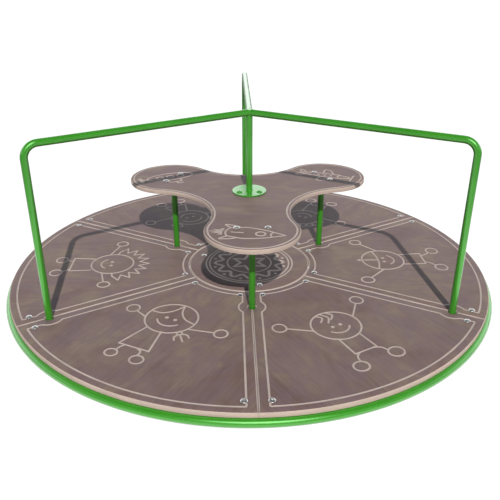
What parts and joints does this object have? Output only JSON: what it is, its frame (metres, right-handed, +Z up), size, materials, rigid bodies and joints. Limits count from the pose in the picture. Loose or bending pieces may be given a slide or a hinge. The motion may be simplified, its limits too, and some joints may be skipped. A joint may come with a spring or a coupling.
{
  "type": "merry go round",
  "caption": "Round plywood platform with a green rim tube, a three-lobed seat on posts and level handrails from a centre post, turning on a low fixed hub.",
  "frame": {"origin": "middle of the ground flange's underside, on the spindle's axis", "axes": "+Z up along the spindle's axis; -Y towards the front seam of the deck, which carries a seat post; +X to the right"},
  "size_m": [2.0336, 2.0336, 0.8174],
  "materials": {
    "green_powder_coat": "glossy green powder coat with a faint orange-peel texture",
    "film_faced_plywood": "satin brown phenolic film with fine wire marks over birch plywood, light layered edges",
    "zinc_fasteners": "bright zinc plate",
    "galvanised_steel": "dull hot-dip galvanising",
    "bearing_steel": "ground bearing steel",
    "seal_rubber": "matt black rubber"
  },
  "bodies": {
    "base": {"base_flange": "green_powder_coat", "spindle": "bearing_steel", "lower_bearing_inner_ring": "bearing_steel", "upper_bearing_inner_ring": "bearing_steel", "bearing_spacer": "galvanised_steel", "lock_washer": "zinc_fasteners", "lock_nut": "zinc_fasteners"},
    "lower_cage": {"lower_ball_cage": "bearing_steel"},
    "upper_cage": {"upper_ball_cage": "bearing_steel"},
    "platform": {"hub_housing": "green_powder_coat", "lower_bearing_outer_ring": "bearing_steel", "upper_bearing_outer_ring": "bearing_steel", "hub_cover": "galvanised_steel", "hub_seal": "seal_rubber", "arm_front": "green_powder_coat", "arm_front_right": "green_powder_coat", "arm_back_right": "green_powder_coat", "arm_back": "green_powder_coat", "arm_back_left": "green_powder_coat", "arm_front_left": "green_powder_coat", "rim_tube": "green_powder_coat", "deck_panel_front_right": "film_faced_plywood", "deck_panel_right": "film_faced_plywood", "deck_panel_back_right": "film_faced_plywood", "deck_panel_back_left": "film_faced_plywood", "deck_panel_left": "film_faced_plywood", "deck_panel_front_left": "film_faced_plywood", "centre_panel": "film_faced_plywood", "seat_board": "film_faced_plywood", "seat_post_front": "green_powder_coat", "seat_post_back_right": "green_powder_coat", "seat_post_back_left": "green_powder_coat", "handrail_right": "green_powder_coat", "handrail_back": "green_powder_coat", "handrail_left": "green_powder_coat", "centre_post": "green_powder_coat", "outer_panel_clamp_front": "zinc_fasteners", "outer_panel_clamp_front_right": "zinc_fasteners", "outer_panel_clamp_back_right": "zinc_fasteners", "outer_panel_clamp_back": "zinc_fasteners", "outer_panel_clamp_back_left": "zinc_fasteners", "outer_panel_clamp_front_left": "zinc_fasteners", "inner_panel_clamp_front": "zinc_fasteners", "inner_panel_clamp_front_right": "zinc_fasteners", "inner_panel_clamp_back_right": "zinc_fasteners", "inner_panel_clamp_back": "zinc_fasteners", "inner_panel_clamp_back_left": "zinc_fasteners", "inner_panel_clamp_front_left": "zinc_fasteners", "centre_panel_bolt_1": "zinc_fasteners", "centre_panel_bolt_2": "zinc_fasteners", "centre_panel_bolt_3": "zinc_fasteners", "post_flange_bolt_1": "green_powder_coat", "post_flange_bolt_2": "green_powder_coat", "post_flange_bolt_3": "green_powder_coat", "seat_bolt_front_left": "zinc_fasteners", "seat_bolt_front_right": "zinc_fasteners", "seat_bolt_back_right_left": "zinc_fasteners", "seat_bolt_back_right_right": "zinc_fasteners", "seat_bolt_back_left_left": "zinc_fasteners", "seat_bolt_back_left_right": "zinc_fasteners"}
  },
  "joints": [
    {"name": "platform_spin", "type": "hinge", "parent": "base", "child": "platform", "pos_m": [0, 0, 0.09], "axis": [0, 0, 1], "continuous": true},
    {"name": "lower_cage_spin", "type": "hinge", "parent": "base", "child": "lower_cage", "pos_m": [0, 0, 0.04], "axis": [0, 0, 1], "continuous": true},
    {"name": "upper_cage_spin", "type": "hinge", "parent": "base", "child": "upper_cage", "pos_m": [0, 0, 0.094], "axis": [0, 0, 1], "continuous": true}
  ],
  "couplings": [
    {"joint": "lower_cage_spin", "follows": "platform_spin", "ratio": 0.5907},
    {"joint": "upper_cage_spin", "follows": "platform_spin", "ratio": 0.5907}
  ]
}
